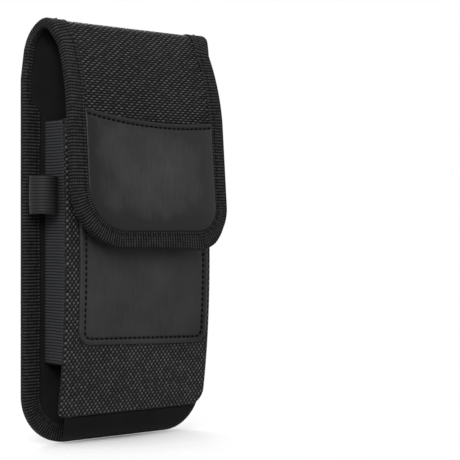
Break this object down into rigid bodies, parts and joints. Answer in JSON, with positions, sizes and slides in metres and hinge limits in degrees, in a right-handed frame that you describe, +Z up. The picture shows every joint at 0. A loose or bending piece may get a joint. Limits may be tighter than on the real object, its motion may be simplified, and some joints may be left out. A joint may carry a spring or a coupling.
{
  "type": "phone belt holster",
  "caption": "Black nylon and leather belt holster for a phone, with a flap, a steel belt clip on the back, an elastic pen loop and a small carabiner.",
  "frame": {"origin": "middle of the belt's seat: in the belt clip, under its top run, halfway between the belt loop and the clip's arms", "axes": "+Z up to the folded crest, +Y out of the back towards the wearer, -Y towards the flap and front, +X to the right as seen from the front, away from the pen loop"},
  "size_m": [0.1027, 0.0492, 0.1881],
  "materials": {
    "nylon": "woven, satin",
    "board": "plain",
    "lining": "smooth, matte",
    "tape": "ribbed, matte",
    "leather": "fine grain, satin",
    "elastic": "ribbed, matte",
    "webbing": "woven, matte",
    "black_steel": "satin black",
    "bright_steel": "polished",
    "magnet_steel": "plain"
  },
  "bodies": {
    "holster": {"outer_shell": "nylon", "stiffener_board": "board", "inner_lining": "lining", "edge_binding": "tape", "flap_leather_patch": "leather", "front_panel": "nylon", "front_board": "board", "front_lining": "lining", "mouth_hem": "tape", "front_leather_patch": "leather", "side_gusset_left": "elastic", "side_gusset_right": "elastic", "bottom_gusset": "lining", "pen_loop": "elastic", "flap_magnet": "magnet_steel", "front_magnet": "magnet_steel", "belt_loop": "nylon", "belt_clip": "black_steel", "clip_rivets": "black_steel", "rivet_washers": "bright_steel", "ring_tab": "webbing"},
    "ring": {"tab_ring": "bright_steel"},
    "carabiner": {"carabiner_body": "black_steel", "gate_pin": "bright_steel"},
    "gate": {"carabiner_gate": "bright_steel", "gate_spring": "bright_steel"}
  },
  "joints": [
    {"name": "ring_swing", "type": "hinge", "parent": "holster", "child": "ring", "pos_m": [0, -0.0037, 0.0133], "axis": [-1, 0, 0], "range_deg": [0, 35]},
    {"name": "carabiner_swing", "type": "hinge", "parent": "ring", "child": "carabiner", "pos_m": [-0.00035, 0.00009, 0.01495], "axis": [-0.9478, -0.0652, 0.3122], "range_deg": [0, 100]},
    {"name": "gate_open", "type": "hinge", "parent": "carabiner", "child": "gate", "pos_m": [-0.01182, -0.00342, 0.03174], "axis": [0, 0.9789, 0.2045], "range_deg": [0, 18], "stiffness_Nm_per_rad": 0.002, "springref_deg": -11.46}
  ]
}
